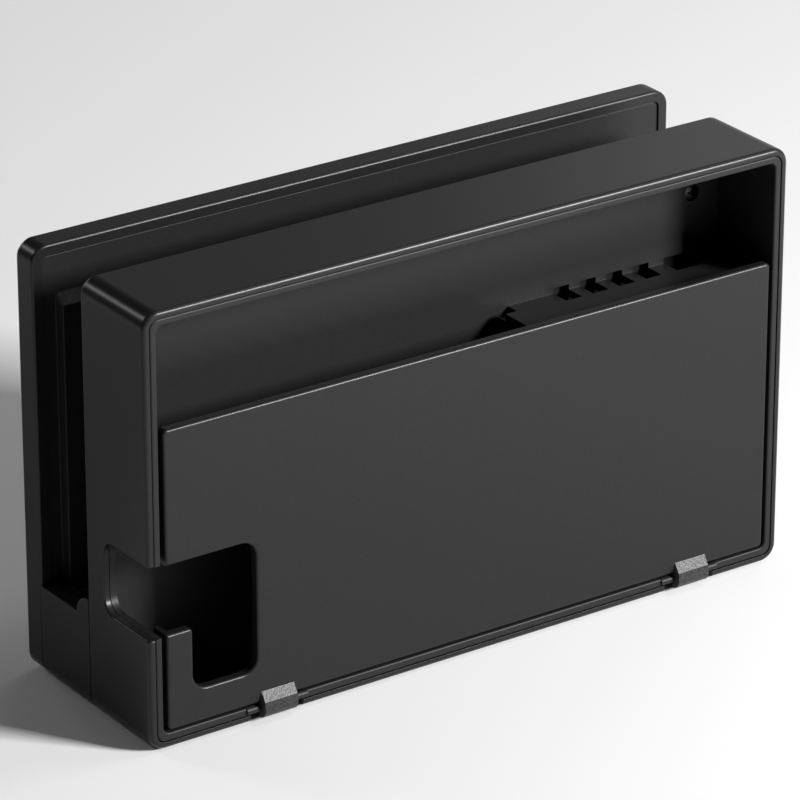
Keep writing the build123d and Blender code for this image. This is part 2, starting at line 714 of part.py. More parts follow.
def socket(shell, tongue):
    """Sheet-metal socket that opens towards +X at the origin, with a tongue inside."""
    wide, high, length = shell
    body = along_x(rect(-high / 2, high / 2, -wide / 2, wide / 2, SOCKET_CORNER), -length, 0)
    half_high = high / 2 - SOCKET_SHEET
    half_wide = wide / 2 - SOCKET_SHEET
    inside = rect(-half_high, half_high, -half_wide, half_wide, SOCKET_CORNER - SOCKET_SHEET)
    body -= along_x(inside, SOCKET_BACK - length, 0)
    tongue_wide, tongue_high, tongue_length = tongue
    start = SOCKET_BACK - length
    blade = rect(-tongue_high / 2, tongue_high / 2, -tongue_wide / 2, tongue_wide / 2)
    return body + along_x(blade, start, start + tongue_length)


def rear_socket(shell, tongue, z):
    """Socket on the main board that opens towards the cable compartment."""
    place = Pos(X_PORTS - SOCKET_RECESS, Y_BOARD_REAR + shell[1] / 2, z)
    return place * socket(shell, tongue)


def side_socket(z):
    """Socket on the side board that opens through the -X end."""
    place = Pos(SOCKET_RECESS - X_END, Y_BOARD_REAR + USB_SHELL[1] / 2, z)
    return place * Rot(0, 0, 180) * socket(USB_SHELL, USB_TONGUE)


def connector(x, z0):
    """Ribbon connector on the front of a board, beside the rear box's front wall."""
    half = CONNECTOR_WIDTH / 2
    return block(x - half, x + half, Y_BOARD - CONNECTOR_DEPTH, Y_BOARD, z0, z0 + CONNECTOR_LENGTH)


def side_ribbon_low():
    """Lower edge of the ribbon between the two boards."""
    return (SIDE_BOARD_LOW + SIDE_BOARD_TOP) / 2


def main_board():
    """Converter board with its screw holes and ribbon connectors."""
    body = block(X_MAIN_FAR, X_MAIN, Y_BOARD, Y_BOARD_REAR, MAIN_BOARD_LOW, MAIN_BOARD_TOP)
    for x, z in board_screw_places():
        body -= rod_y(x, z, SCREW_R + SCREW_CLEAR, Y_BOARD, Y_BOARD_REAR)
    body += connector(X_MAIN_FAR + CONNECTOR_WIDTH, side_ribbon_low())
    half = CONNECTOR_LENGTH / 2
    deep = CONNECTOR_WIDTH / 2
    plug = (X_FLEX - half, X_FLEX + half, Y_BOARD - CONNECTOR_DEPTH, Y_BOARD)
    return body + block(*plug, FLEX_Z - deep, FLEX_Z + deep)


def shield_box():
    """Corners in X and Z that the shield stands between."""
    near = X_MAIN - SHIELD_PORT_MARGIN
    far = X_MAIN_FAR + BOARD_SCREW_EDGE - SCREW_HEAD_R
    low = MAIN_BOARD_LOW + SHIELD_MARGIN
    high = MAIN_BOARD_TOP - SHIELD_MARGIN
    return far, near, low, high


def shield_plate():
    """Folded sheet-metal can over the converter chips."""
    far, near, low, high = shield_box()
    top = Y_BOARD_REAR + SHIELD_HEIGHT
    body = along_y(rect(far, near, low, high, SHIELD_CORNER), Y_BOARD_REAR, top)
    sheet = SHIELD_SHEET
    inside = rect(far + sheet, near - sheet, low + sheet, high - sheet, SHIELD_CORNER - sheet)
    return body - along_y(inside, Y_BOARD_REAR, top - sheet)


def board_chips():
    """Video converter, power switch and coil under the shield."""
    far, near, low, _ = shield_box()
    middle = (far + near) / 2
    chips = []
    z = low + CHIP_SPACE
    for side, tall in CHIP_SIZES:
        half = side / 2
        z += half
        chips.append(
            block(middle - half, middle + half, Y_BOARD_REAR, Y_BOARD_REAR + tall, z - half, z + half)
        )
        z += half + CHIP_SPACE
    return Compound(children=chips)


def side_usb_board():
    """Small board behind the side sockets, hung on the tray's end wall by its sockets."""
    body = block(X_SIDE_FAR, X_SIDE, Y_BOARD, Y_BOARD_REAR, SIDE_BOARD_LOW, SIDE_BOARD_TOP)
    return body + connector(X_SIDE - CONNECTOR_WIDTH, side_ribbon_low())


def side_board_ribbon():
    """Flat ribbon between the two boards' connectors."""
    y1 = Y_BOARD - CONNECTOR_DEPTH
    x0 = X_SIDE - CONNECTOR_WIDTH - RIBBON_LAP
    x1 = X_MAIN_FAR + CONNECTOR_WIDTH + RIBBON_LAP
    z0 = side_ribbon_low()
    return block(x0, x1, y1 - RIBBON_THICK, y1, z0, z0 + CONNECTOR_LENGTH)


def plug_outline(grow=0.0):
    """Flat-sided oval of the console plug, seen from above."""
    wide = PLUG_WIDTH + 2 * grow
    thick = PLUG_THICK + 2 * grow
    return Pos(0, Y_SLOT) * SlotOverall(wide, thick)


def console_plug():
    """Metal plug that stands in the carrier, hollow from its tip."""
    top = Z_CARRIER + PLUG_REACH
    body = along_z(plug_outline(), Z_CARRIER - PLUG_SINK, top)
    return body - along_z(plug_outline(-PLUG_SHEET), Z_CARRIER, top)


def plug_carrier():
    """Moulded carrier: a rounded head in the floor opening on a hub that turns on the pin."""
    half = CARRIER_WIDTH / 2
    reach = CARRIER_DEPTH / 2
    head = rect(-half, half, Y_SLOT - reach, Y_SLOT + reach, CARRIER_R)
    body = along_z(head, HUB_HIGH - PAST, Z_CARRIER)
    body = fillet(body.edges().group_by(Axis.Z)[-1], EDGE_ROUND)
    hub = BRACKET_SPAN / 2 - HUB_SIDE_GAP
    body += block(-hub, hub, Y_SLOT - HUB_DEPTH / 2, Y_SLOT + HUB_DEPTH / 2, HUB_LOW, HUB_HIGH)
    body -= along_x(Pos(Y_SLOT, TILT_PIN_Z) * Circle(TILT_PIN_R + TILT_CLEAR), -hub, hub)
    return body - along_z(plug_outline(PLUG_FIT), Z_CARRIER - PLUG_SINK, Z_CARRIER)


def plug_pin():
    """Steel pin that the carrier tilts on, seated in the bracket's ears."""
    half = BRACKET_SPAN / 2 + BRACKET_SHEET
    return along_x(Pos(Y_SLOT, TILT_PIN_Z) * Circle(TILT_PIN_R), -half, half)


def plug_bracket():
    """Steel bracket folded as a trough, hung from the slot floor by two flanges."""
    inner = BRACKET_SPAN / 2
    outer = inner + BRACKET_SHEET
    tip = outer + FLANGE_WIDTH
    low = BRACKET_LOW
    under = FLANGE_Z - BRACKET_SHEET
    right = ((inner, low + BRACKET_SHEET), (inner, FLANGE_Z), (tip, FLANGE_Z), (tip, under))
    right += ((outer, under), (outer, low))
    left = tuple((-x, z) for x, z in reversed(right))
    y0 = Y_SLOT - BRACKET_DEPTH / 2
    body = along_y(Polygon(*right, *left, align=None), y0, y0 + BRACKET_DEPTH)
    body -= along_x(Pos(Y_SLOT, TILT_PIN_Z) * Circle(TILT_PIN_R), -outer, outer)
    for x in (-BRACKET_SCREW_X, BRACKET_SCREW_X):
        body -= rod_z(x, Y_SLOT, SCREW_R + SCREW_CLEAR, under, FLANGE_Z)
    return body


def carrier_springs():
    """Two bent leaves that press the carrier back upright from in front and behind."""
    low = BRACKET_LOW + BRACKET_SHEET + SPRING_SHEET / 2
    high = HUB_LOW - SPRING_GAP - SPRING_SHEET / 2
    leaves = []
    for side in (-1, 1):
        path = Polyline(
            (Y_SLOT + side * SPRING_HEEL, low),
            (Y_SLOT + side * SPRING_REACH, low),
            (Y_SLOT + side * SPRING_TIP, high),
        )
        leaf = trace(path, SPRING_SHEET)
        leaves.append(along_x(leaf, -SPRING_WIDTH / 2, SPRING_WIDTH / 2))
    return Compound(children=leaves)


def plug_flex():
    """Folded ribbon from behind the carrier along the base and through to the main board."""
    y = Y_BOX - FLEX_BACK
    low = FLEX_Z - RIBBON_THICK / 2
    high = FLEX_Z + RIBBON_THICK / 2
    half = FLEX_WIDTH / 2
    start = Y_SLOT + HUB_DEPTH / 2 + FLEX_GAP
    wall = block(
        X_FLEX - half, half, y - RIBBON_THICK, y, FLEX_Z - FLEX_HEIGHT / 2, FLEX_Z + FLEX_HEIGHT / 2
    )
    tail = block(-half, half, start, y, low, high)
    end = Y_BOARD - CONNECTOR_DEPTH
    return wall + tail + block(X_FLEX - half, X_FLEX + half, y - RIBBON_THICK, end, low, high)


def light_guide():
    """Clear guide that carries the status light through the face plate."""
    seat = Y_FRONT + COVER_WALL
    body = rod_y(X_LIGHT, LIGHT_Z, LIGHT_R, Y_FRONT, seat)
    return body + rod_y(X_LIGHT, LIGHT_Z, LIGHT_R + LIGHT_FLANGE, seat, seat + LIGHT_FLANGE_THICK)


def led_board():
    """Small board on the panel with the light behind its guide."""
    half = LED_BOARD_WIDTH / 2
    face = Y_PANEL_FRONT - LED_BOARD_THICK
    low = LED_RIBBON_Z + PAST - LED_BOARD_HEIGHT
    body = block(X_LIGHT - half, X_LIGHT + half, face, Y_PANEL_FRONT, low, low + LED_BOARD_HEIGHT)
    led = LED_SIZE / 2
    lamp = block(X_LIGHT - led, X_LIGHT + led, face - LED_HEIGHT, face, LIGHT_Z - led, LIGHT_Z + led)
    return body + lamp


def led_ribbon():
    """Flat ribbon from the status light's board to the side board."""
    half = LED_RIBBON_WIDTH / 2
    low = LED_RIBBON_Z - RIBBON_THICK / 2
    return block(X_LIGHT - half, X_LIGHT + half, Y_PANEL_FRONT, Y_BOARD, low, low + RIBBON_THICK)


def bottom_cover():
    """Plate that closes the base, with pockets for the front feet."""
    half = X_END - BOTTOM_END - BOTTOM_CLEAR
    body = block(-half, half, Y_PLATE + BOTTOM_CLEAR, Y_BOX - BOTTOM_CLEAR, Z_BASE, Z_BOTTOM)
    for x, y in bottom_screw_places():
        body -= rod_z(x, y, SCREW_R + SCREW_CLEAR, Z_BASE, Z_BOTTOM)
        sink = Z_BASE + SCREW_HEAD_H
        body -= rod_z(x, y, SCREW_HEAD_R + HEAD_CLEAR, Z_BASE, sink)
    return cut_foot_pockets(body)


def rubber_feet():
    """Four long rubber feet set into the underside."""
    shape = RectangleRounded(FOOT_LENGTH, FOOT_WIDTH, FOOT_WIDTH / 2 - FOOT_CLEAR)
    feet = [along_z(Pos(x, y) * shape, 0, Z_BASE + FOOT_POCKET) for x, y in foot_places()]
    return Compound(children=feet)


def screw_groups():
    """Every set of like screws, seated on its own piece."""
    flange = FLANGE_Z - BRACKET_SHEET
    base = Z_BASE + SCREW_HEAD_H
    wall = Y_SHELL - SCREW_HEAD_H
    groups = {
        "back_plate_screws": [
            rearward_screw(x, y, z, SCREW_LENGTH) for x, y, z in tray_screw_seats()
        ],
        "board_screws": [
            rearward_screw(x, Y_BOARD_REAR, z, BOARD_SCREW_LENGTH) for x, z in board_screw_places()
        ],
        "liner_screws": [
            rearward_screw(x, wall, LINER_SCREW_Z, SCREW_LENGTH) for x in LINER_SCREW_XS
        ],
        "cover_screws": [
            rearward_screw(x, Y_PLATE, COVER_SCREW_Z, COVER_SCREW_LENGTH) for x in COVER_SCREW_XS
        ],
        "bracket_screws": [
            downward_screw(x, Y_SLOT, flange, BOARD_SCREW_LENGTH)
            for x in (-BRACKET_SCREW_X, BRACKET_SCREW_X)
        ],
        "bottom_screws": [
            downward_screw(x, y, base, SCREW_LENGTH) for x, y in bottom_screw_places()
        ],
    }
    return {name: Compound(children=screws) for name, screws in groups.items()}


def pieces():
    """Every separate piece of the dock, by name."""
    made = {
        "front_cover": front_cover(),
        "slot_liner": slot_liner(),
        "rear_shell": rear_shell(),
        "back_plate": back_plate(),
        "rear_door": rear_door(),
        "main_board": main_board(),
        "board_chips": board_chips(),
        "shield_plate": shield_plate(),
        "side_usb_board": side_usb_board(),
        "side_board_ribbon": side_board_ribbon(),
        "console_plug": console_plug(),
        "plug_carrier": plug_carrier(),
        "plug_pin": plug_pin(),
        "plug_bracket": plug_bracket(),
        "carrier_springs": carrier_springs(),
        "plug_flex": plug_flex(),
        "light_guide": light_guide(),
        "led_board": led_board(),
        "led_ribbon": led_ribbon(),
        "bottom_cover": bottom_cover(),
        "rubber_feet": rubber_feet(),
    }
    for name, (shell, tongue, z) in rear_sockets().items():
        made[name] = rear_socket(shell, tongue, z)
    for name, z in zip(("side_usb_port_lower", "side_usb_port_upper"), SIDE_USB_ZS):
        made[name] = side_socket(z)
    made.update(screw_groups())
    return made


os.makedirs("parts", exist_ok=True)
for node, shape in pieces().items():
    export_step(shape, f"parts/{node}.step")
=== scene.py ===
"""Looks of a handheld console dock: finishes for its mouldings, metalwork and boards, drive recesses and
threads on its screws, contacts in its sockets, and a plain studio round it. Metres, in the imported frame."""

import math
from typing import NamedTuple

import bmesh
import bpy
import numpy as np
from bpy.props import FloatProperty, FloatVectorProperty, IntProperty, PointerProperty
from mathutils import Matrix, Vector


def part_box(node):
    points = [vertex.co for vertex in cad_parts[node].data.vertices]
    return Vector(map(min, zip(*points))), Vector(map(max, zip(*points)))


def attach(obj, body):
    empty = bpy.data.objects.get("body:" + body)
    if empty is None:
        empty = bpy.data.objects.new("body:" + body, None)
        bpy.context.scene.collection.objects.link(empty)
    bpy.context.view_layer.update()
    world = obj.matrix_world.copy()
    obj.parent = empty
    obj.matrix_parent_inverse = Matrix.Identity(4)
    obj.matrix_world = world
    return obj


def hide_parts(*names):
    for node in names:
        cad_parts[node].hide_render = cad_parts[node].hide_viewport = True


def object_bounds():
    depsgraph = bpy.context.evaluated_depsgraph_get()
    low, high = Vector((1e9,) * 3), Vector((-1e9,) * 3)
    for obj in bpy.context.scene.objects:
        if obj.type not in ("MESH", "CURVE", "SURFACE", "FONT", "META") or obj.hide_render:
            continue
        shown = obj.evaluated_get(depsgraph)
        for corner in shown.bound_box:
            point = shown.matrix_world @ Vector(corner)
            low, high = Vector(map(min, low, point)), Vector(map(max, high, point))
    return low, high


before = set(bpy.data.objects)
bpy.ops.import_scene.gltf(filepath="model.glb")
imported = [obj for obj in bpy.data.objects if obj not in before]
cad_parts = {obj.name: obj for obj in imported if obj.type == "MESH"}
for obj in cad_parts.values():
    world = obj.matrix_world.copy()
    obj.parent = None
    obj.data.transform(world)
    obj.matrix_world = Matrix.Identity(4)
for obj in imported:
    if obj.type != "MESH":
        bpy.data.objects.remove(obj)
CAD_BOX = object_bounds()

bl_info = {
    "name": "Console dock looks",
    "version": (1, 0, 0),
    "blender": (4, 5, 0),
    "location": "3D View > Sidebar > Dock",
    "description": "Finishes, screw recesses, socket contacts and a studio for a handheld console dock",
    "category": "Object",
}

MM = 0.001


class DOCK_PG_plastic(bpy.types.PropertyGroup):
    """Black moulded plastic."""

    tone: FloatVectorProperty(
        name="Tone", description="Colour of the moulded plastic", subtype="COLOR",
        default=(0.0120, 0.0120, 0.0126)
    )
    roughness: FloatProperty(
        name="Roughness", description="Roughness of the matte faces", subtype="FACTOR", min=0, max=1,
        default=0.31
    )
    specular: FloatProperty(
        name="Gloss level", description="Strength of the plastic's gloss", subtype="FACTOR", min=0, max=1,
        default=0.24
    )
    grain_size: FloatProperty(
        name="Grain size", description="Width of one grain of the matte faces", unit="LENGTH",
        default=0.38 * MM
    )
    grain_depth: FloatProperty(
        name="Grain depth", description="Depth of the matte grain", unit="LENGTH", default=0.012 * MM
    )
    spark_size: FloatProperty(
        name="Spark size", description="Width of one pit of the spark-eroded faces", unit="LENGTH",
        default=0.5 * MM
    )
    spark_depth: FloatProperty(
        name="Spark depth", description="Depth of the spark-eroded pits", unit="LENGTH", default=0.09 * MM
    )
    # Painted shade and painted highlight: tone factors for the foot and the rim of a spark-eroded pit
    foot_shade: FloatProperty(
        name="Pit shade", description="Tone at the foot of a spark-eroded pit", default=0.9
    )
    rim_highlight: FloatProperty(
        name="Pit rim", description="Tone at the rim of a spark-eroded pit", default=4.0
    )
    spark_rough: FloatProperty(
        name="Pit roughness", description="Roughness that the pits add", default=0.06
    )
    edge_soft: FloatProperty(
        name="Edge softness", description="Radius that catches light on a moulded edge", unit="LENGTH",
        default=0.15 * MM
    )


class DOCK_PG_metal(bpy.types.PropertyGroup):
    """Plated and bare metal."""

    nickel: FloatVectorProperty(
        name="Nickel", description="Colour of the nickel-plated sheet", subtype="COLOR",
        default=(0.60, 0.60, 0.62)
    )
    zinc: FloatVectorProperty(
        name="Zinc", description="Colour of the zinc-plated pieces", subtype="COLOR",
        default=(0.58, 0.585, 0.60)
    )
    gold: FloatVectorProperty(
        name="Gold", description="Colour of the contacts' flash of gold", subtype="COLOR",
        default=(0.83, 0.60, 0.25)
    )
    black: FloatVectorProperty(
        name="Black", description="Colour of the black-passivated screws", subtype="COLOR",
        default=(0.05, 0.05, 0.055)
    )
    streak: FloatProperty(
        name="Streak", description="Spacing of the sheet's rolling streaks", unit="LENGTH", default=0.5 * MM
    )


class DOCK_PG_board(bpy.types.PropertyGroup):
    """Boards, ribbons, feet and the light guide."""

    mask: FloatVectorProperty(
        name="Solder mask", description="Colour of the boards", subtype="COLOR",
        default=(0.012, 0.085, 0.040)
    )
    copper: FloatVectorProperty(
        name="Tracks", description="Colour of the copper under the solder mask", subtype="COLOR",
        default=(0.035, 0.165, 0.075)
    )
    film: FloatVectorProperty(
        name="Film", description="Colour of the ribbons' film", subtype="COLOR", default=(0.36, 0.17, 0.035)
    )
    rubber: FloatVectorProperty(
        name="Rubber", description="Colour of the feet", subtype="COLOR", default=(0.016, 0.016, 0.016)
    )
    track_pitch: FloatProperty(
        name="Track pitch", description="Spacing of the copper tracks", unit="LENGTH", default=0.8 * MM
    )


class DOCK_PG_screw(bpy.types.PropertyGroup):
    """Screw heads and threads."""

    head_height: FloatProperty(
        name="Head height", description="From the seat to the top of the head", unit="LENGTH",
        default=1.0 * MM
    )
    crown: FloatProperty(
        name="Crown", description="How far the head's rim lies below its middle", unit="LENGTH",
        default=0.35 * MM
    )
    wing_length: FloatProperty(
        name="Wing length", description="Reach of each wing of the drive recess", unit="LENGTH",
        default=1.15 * MM
    )
    wing_half: FloatProperty(
        name="Wing half width", description="Half the width of each wing", unit="LENGTH", default=0.24 * MM
    )
    recess_depth: FloatProperty(
        name="Recess depth", description="Depth of the drive recess", unit="LENGTH", default=0.55 * MM
    )
    pitch: FloatProperty(
        name="Pitch", description="Rise of the thread in one turn", unit="LENGTH", default=0.8 * MM
    )
    thread_depth: FloatProperty(
        name="Thread depth", description="From the thread's crest to its root", unit="LENGTH",
        default=0.22 * MM
    )
    sides: IntProperty(name="Sides", description="Points round each screw", default=72)


class DOCK_PG_stage(bpy.types.PropertyGroup):
    """Camera, floor and sky."""

    azimuth: FloatProperty(
        name="Azimuth", description="Camera's turn round the dock", unit="ROTATION",
        default=math.radians(145.276)
    )
    elevation: FloatProperty(
        name="Elevation", description="Camera's height above the horizon", unit="ROTATION",
        default=math.radians(23.962)
    )
    distance: FloatProperty(name="Distance", description="Camera to its target", unit="LENGTH", default=1.2)
    target: FloatVectorProperty(
        name="Target", description="Point that the camera looks at", subtype="XYZ", unit="LENGTH",
        default=(3.3 * MM, 0.0, 54.554 * MM)
    )
    lens: FloatProperty(name="Lens", description="Focal length in millimetres", default=239.79)
    floor_size: FloatProperty(name="Floor", description="Side of the floor", unit="LENGTH", default=8.0)
    floor_tone: FloatVectorProperty(
        name="Floor colour", description="Colour of the floor", subtype="COLOR", default=(0.94, 0.94, 0.94)
    )
    sky: FloatProperty(name="Sky", description="Brightness of the even light from all sides", default=0.04)


class Finish:
    """A new material on one shader, and short calls that add and join its nodes."""

    def __init__(self, name):
        self.material = bpy.data.materials.new(name)
        self.material.use_nodes = True
        self.tree = self.material.node_tree
        self.shader = self.tree.nodes["Principled BSDF"]
        self.where = self.node("ShaderNodeTexCoord").outputs["Object"]

    def node(self, kind, values=None, **settings):
        """Adds a node, sets its own settings, and feeds or joins its inputs."""
        made = self.tree.nodes.new(kind)
        for name, value in settings.items():
            setattr(made, name, value)
        self.feed(made, values or {})
        return made

    def feed(self, node, values):
        """Sets each input to a value, or joins it to another node's output."""
        for name, value in values.items():
            if isinstance(value, bpy.types.NodeSocket):
                self.tree.links.new(value, node.inputs[name])
            else:
                node.inputs[name].default_value = value

    def finished(self, values):
        """Feeds the shader and gives the material."""
        self.feed(self.shader, values)
        return self.material

    def stretched(self, scale):
        """Object coordinates multiplied by three factors."""
        return self.node("ShaderNodeMapping", {"Vector": self.where, "Scale": scale}).outputs["Vector"]

    def noise(self, size, detail=2.0, rough=0.5, where=None):
        """Noise whose lumps are about size across."""
        values = {"Vector": where or self.where, "Scale": 1.0 / size, "Detail": detail, "Roughness": rough}
        return self.node("ShaderNodeTexNoise", values).outputs["Fac"]

    def bands(self, axis, pitch):
        """Bands across one axis, 0 to 1 and back in each pitch: the node's own bands are pi / 10 apart."""
        values = {"Vector": self.where, "Scale": math.pi / (10.0 * pitch)}
        return self.node("ShaderNodeTexWave", values, bands_direction=axis).outputs["Fac"]

    def span(self, source, low, high, start=0.0, end=1.0):
        """Spreads an output from start to end over low to high."""
        values = {"Value": source, "From Min": start, "From Max": end, "To Min": low, "To Max": high}
        return self.node("ShaderNodeMapRange", values).outputs["Result"]

    def sums(self, operation, a, b):
        """One sum on two outputs or numbers."""
        return self.node("ShaderNodeMath", {0: a, 1: b}, operation=operation).outputs[0]

    def mix(self, share, a, b):
        """Colour a at share 0 and colour b at share 1. Inputs 6 and 7 and output 2 are the node's colours."""
        values = {"Factor": share, 6: a, 7: b}
        return self.node("ShaderNodeMix", values, data_type="RGBA").outputs[2]

    def vectors(self, operation, *values):
        """One sum on vectors."""
        return self.node("ShaderNodeVectorMath", dict(enumerate(values)), operation=operation).outputs[0]

    def inside(self, low, high):
        """1 inside the box between two corners, 0 outside it."""
        middle = (Vector(low) + Vector(high)) / 2
        half = (Vector(high) - Vector(low)) / 2
        folded = self.vectors("ABSOLUTE", self.vectors("SUBTRACT", self.where, middle))
        past = self.vectors("SUBTRACT", folded, half)
        x, y, z = self.node("ShaderNodeSeparateXYZ", {0: past}).outputs
        furthest = self.sums("MAXIMUM", self.sums("MAXIMUM", x, y), z)
        return self.sums("LESS_THAN", furthest, 0.0)

    def bump(self, height, normal=None):
        """Normal of a surface raised by a height in metres."""
        values = {"Height": height, "Distance": 1.0, "Strength": 1.0}
        if normal is not None:
            values["Normal"] = normal
        return self.node("ShaderNodeBump", values).outputs["Normal"]


def shade(colour, factor):
    """Colour with an alpha of 1, lightened or darkened by a factor."""
    return (*(min(1.0, c * factor) for c in colour), 1.0)


def moulded(name, rough_highlit_boxes=(), sparked=0.0, soft=1.0, matte=0.0):
    """Matte black plastic with a grain of faint specks, and coarser, rougher pits where it was spark-eroded,
    with painted shade at their feet and a painted highlight on their rims that lightens the face: by about
    the share sparked all over, and fully inside the boxes it is given. Its edges catch light over soft times
    the edge softness, and matte is added to its roughness."""
    drift_size = 30 * MM
    speck_spread, sheen_spread, share_spread = 0.25, 0.02, 0.5
    pit_foot, pit_rim = 0.3, 0.7
    look = bpy.context.scene.dock_plastic
    made = Finish(name)
    drift = made.noise(drift_size, detail=3.0)
    speck = made.noise(look.grain_size, detail=1.0)
    colour = made.mix(speck, shade(look.tone, 1.0 - speck_spread), shade(look.tone, 1.0 + speck_spread))
    height = made.sums("MULTIPLY", speck, look.grain_depth)
    roughness = look.roughness + matte
    sheen = made.span(drift, roughness - sheen_spread, roughness + sheen_spread)
    pitted = [made.inside(*box) for box in rough_highlit_boxes]
    if sparked > 0.0:
        pitted.append(made.span(drift, (1.0 - share_spread) * sparked, (1.0 + share_spread) * sparked))
    for share in pitted:
        pits = made.noise(look.spark_size, detail=2.0, rough=0.6)
        rims = made.span(pits, 0.0, 1.0, pit_foot, pit_rim)
        # Painted shade at each pit's foot and a painted highlight on its rim, far lighter than the plastic's
        # own tone
        pit_painted_light = made.mix(rims, shade(look.tone, look.foot_shade), shade(look.tone, look.rim_highlight))
        colour = made.mix(share, colour, pit_painted_light)
        spark = made.sums("MULTIPLY", made.sums("MULTIPLY", pits, look.spark_depth), share)
        height = made.sums("ADD", height, spark)
        sheen = made.sums("ADD", sheen, made.sums("MULTIPLY", share, look.spark_rough))
    rounded = made.node("ShaderNodeBevel", {"Radius": look.edge_soft * soft}, samples=4).outputs["Normal"]
    return made.finished({
        "Base Color": colour,
        "Roughness": sheen,
        "Specular IOR Level": look.specular,
        "Normal": made.bump(height, rounded),
    })


# How the streaks of a metal are stretched: along X on rolled sheet, in rings round X on a turned pin, and
# evenly on tumbled pieces
ROLLED = (1.0, 12.0, 12.0)
TURNED = (12.0, 1.0, 1.0)
TUMBLED = (4.0, 4.0, 4.0)


def plating(made, colour, roughness, streaks):
    """Tone and roughness of plated metal, both broken up by fine streaks."""
    dark, light, sheen_spread = 0.85, 1.05, 0.06
    spacing = bpy.context.scene.dock_metal.streak
    lines = made.noise(spacing, detail=3.0, where=made.stretched(streaks))
    tone = made.mix(lines, shade(colour, dark), shade(colour, light))
    return tone, made.span(lines, roughness - sheen_spread, roughness + sheen_spread)


def metal(name, colour, roughness, streaks=ROLLED):
    """Plated metal."""
    made = Finish(name)
    tone, sheen = plating(made, colour, roughness, streaks)
    return made.finished({"Base Color": tone, "Metallic": 1.0, "Roughness": sheen})


def shelled(name, colour, roughness, hollow):
    """Plated shell whose inside, between the two corners of hollow, is black insulating plastic."""
    insulator_rough = 0.12
    insulator = shade(bpy.context.scene.dock_plastic.tone, 1.0)
    made = Finish(name)
    tone, sheen = plating(made, colour, roughness, ROLLED)
    within = made.inside(*hollow)
    return made.finished({
        "Base Color": made.mix(within, tone, insulator),
        "Metallic": made.sums("SUBTRACT", 1.0, within),
        "Roughness": made.sums("ADD", sheen, made.sums("MULTIPLY", within, insulator_rough)),
    })


def laminate(name):
    """Circuit board: solder mask over runs of copper track, broken up so that no two runs match."""
    patch_size, track_height = 6 * MM, 0.03 * MM
    track_edge = {"start": 0.45, "end": 0.55}
    smooth, dull = 0.28, 0.40
    look = bpy.context.scene.dock_board
    made = Finish(name)
    patch = made.noise(patch_size, detail=1.0)
    runs = made.span(made.bands("Z", look.track_pitch), 0.0, 1.0, **track_edge)
    cross = made.span(made.bands("X", look.track_pitch), 0.0, 1.0, **track_edge)
    turn = made.sums("GREATER_THAN", patch, 0.5)
    along = made.sums("MULTIPLY", runs, turn)
    over = made.sums("MULTIPLY", cross, made.sums("SUBTRACT", 1.0, turn))
    track = made.sums("ADD", along, over)
    return made.finished({
        "Base Color": made.mix(track, shade(look.mask, 1.0), shade(look.copper, 1.0)),
        "Roughness": made.span(patch, smooth, dull),
        "Normal": made.bump(made.sums("MULTIPLY", track, track_height)),
    })


def packaged(name):
    """Moulded chip packages: charcoal with a sandy grain."""
    sand_size, sand_height = 0.12 * MM, 0.01 * MM
    charcoal, ash = (0.012, 0.012, 0.013, 1.0), (0.03, 0.03, 0.031, 1.0)
    smooth, dull = 0.5, 0.7
    made = Finish(name)
    sand = made.noise(sand_size, detail=2.0)
    return made.finished({
        "Base Color": made.mix(sand, charcoal, ash),
        "Roughness": made.span(sand, smooth, dull),
        "Normal": made.bump(made.sums("MULTIPLY", sand, sand_height)),
    })


def film(name, axis):
    """Amber film over copper tracks that run at right angles to the axis."""
    cloud_size, track_height = 3 * MM, 0.02 * MM
    track_edge = {"start": 0.35, "end": 0.65}
    dark, light = 0.7, 1.2
    smooth, dull = 0.25, 0.38
    look = bpy.context.scene.dock_board
    made = Finish(name)
    track = made.span(made.bands(axis, look.track_pitch), 0.0, 1.0, **track_edge)
    cloud = made.noise(cloud_size)
    return made.finished({
        "Base Color": made.mix(track, shade(look.film, dark), shade(look.film, light)),
        "Roughness": made.span(cloud, smooth, dull),
        "Normal": made.bump(made.sums("MULTIPLY", track, track_height)),
    })


def rubbered(name):
    """Soft black rubber with a dusty grain."""
    dust_size, dust_height = 0.4 * MM, 0.03 * MM
    dark, light = 0.8, 1.5
    smooth, dull = 0.72, 0.88
    gloss = 0.25
    look = bpy.context.scene.dock_board
    made = Finish(name)
    dust = made.noise(dust_size, detail=3.0)
    return made.finished({
        "Base Color": made.mix(dust, shade(look.rubber, dark), shade(look.rubber, light)),
        "Roughness": made.span(dust, smooth, dull),
        "Specular IOR Level": gloss,
        "Normal": made.bump(made.sums("MULTIPLY", dust, dust_height)),
    })


def clear(name):
    """Clear acrylic with a faintly frosted end."""
    frost_size = 0.2 * MM
    thick, thin = (0.80, 0.84, 0.80, 1.0), (0.90, 0.93, 0.90, 1.0)
    smooth, dull = 0.18, 0.32
    clearness, acrylic_index = 0.85, 1.49
    made = Finish(name)
    frost = made.noise(frost_size)
    return made.finished({
        "Base Color": made.mix(frost, thick, thin),
        "Roughness": made.span(frost, smooth, dull),
        "Transmission Weight": clearness,
        "IOR": acrylic_index,
    })


def dress(node, material):
    """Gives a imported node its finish."""
    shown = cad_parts[node].data.materials
    shown.clear()
    shown.append(material)


def points_of(node):
    """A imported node's vertices as an array of rows."""
    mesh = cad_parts[node].data
    flat = np.empty(len(mesh.vertices) * 3)
    mesh.vertices.foreach_get("co", flat)
    return flat.reshape(-1, 3)


def parted(points, axis, gap):
    """Points in order along an axis, split wherever the step to the next one is wider than gap."""
    ordered = points[np.argsort(points[:, axis])]
    steps = np.diff(ordered[:, axis])
    return np.split(ordered, np.flatnonzero(steps > gap) + 1)


